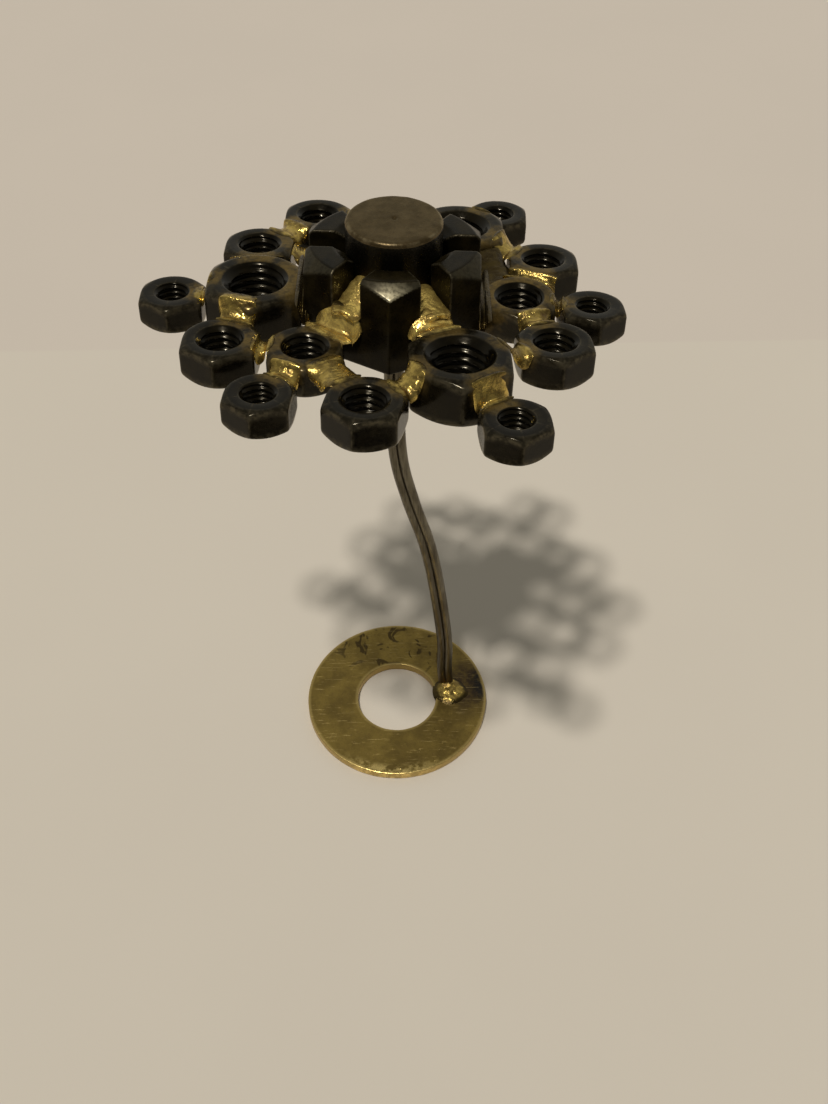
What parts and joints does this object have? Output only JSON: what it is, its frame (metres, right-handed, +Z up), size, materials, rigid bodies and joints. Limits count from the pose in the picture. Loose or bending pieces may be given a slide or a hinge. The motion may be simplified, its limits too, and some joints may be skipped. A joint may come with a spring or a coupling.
{
  "type": "brazed hex nut flower ornament",
  "caption": "Small table ornament: a flower of black hex nuts brazed around a slotted nut, held up on bent wires that stand on a flat brass washer.",
  "frame": {"origin": "middle of the bottom of the bounding box, on the surface that the washer rests on", "axes": "+Z up, -Y towards the front of the flower, +X to the right seen from the front"},
  "size_m": [0.069, 0.0664, 0.1179],
  "materials": {
    "black_steel": "black oxide, glossy, with worn edges",
    "plug_steel": "brown, satin, with fine turning marks",
    "braze": "rippled brazing brass, partly tarnished",
    "washer_brass": "dull, scratched, with heat stains",
    "wire_steel": "drawn wire, grey-brown, satin"
  },
  "bodies": {
    "root": {"base_washer": "washer_brass", "braze_stem_foot": "braze", "stem_wire_left": "wire_steel", "stem_wire_right": "wire_steel", "braze_stem_top": "braze", "slotted_nut": "black_steel", "centre_plug": "plug_steel", "nut_ring_left": "black_steel", "nut_ring_front_left": "black_steel", "nut_ring_front_right": "black_steel", "nut_ring_right": "black_steel", "nut_ring_back_right": "black_steel", "nut_ring_back_left": "black_steel", "nut_outer_left": "black_steel", "nut_outer_left_front": "black_steel", "nut_outer_front_left": "black_steel", "nut_outer_front": "black_steel", "nut_outer_front_right": "black_steel", "nut_outer_right_front": "black_steel", "nut_outer_right": "black_steel", "nut_outer_right_back": "black_steel", "nut_outer_back_right": "black_steel", "nut_outer_back": "black_steel", "nut_outer_back_left": "black_steel", "nut_outer_left_back": "black_steel", "braze_hub_to_ring_back_left": "braze", "braze_hub_to_ring_back_right": "braze", "braze_hub_to_ring_front_left": "braze", "braze_hub_to_ring_front_right": "braze", "braze_hub_to_ring_left": "braze", "braze_hub_to_ring_right": "braze", "braze_outer_back_left_to_outer_left_back": "braze", "braze_outer_back_to_outer_back_left": "braze", "braze_ring_back_left_to_outer_back_left": "braze", "braze_ring_back_right_to_outer_back": "braze", "braze_ring_back_right_to_outer_back_right": "braze", "braze_ring_back_right_to_outer_right_back": "braze", "braze_ring_front_left_to_outer_front": "braze", "braze_ring_front_left_to_outer_front_left": "braze", "braze_ring_front_left_to_outer_left_front": "braze", "braze_ring_front_right_to_outer_front": "braze", "braze_ring_front_right_to_outer_front_right": "braze", "braze_ring_front_right_to_outer_right_front": "braze", "braze_ring_left_to_outer_left": "braze", "braze_ring_left_to_outer_left_back": "braze", "braze_ring_left_to_outer_left_front": "braze", "braze_ring_right_to_outer_right": "braze", "braze_ring_right_to_outer_right_back": "braze", "braze_ring_right_to_outer_right_front": "braze", "braze_slot_front_left": "braze", "braze_slot_front_right": "braze"}
  },
  "joints": []
}
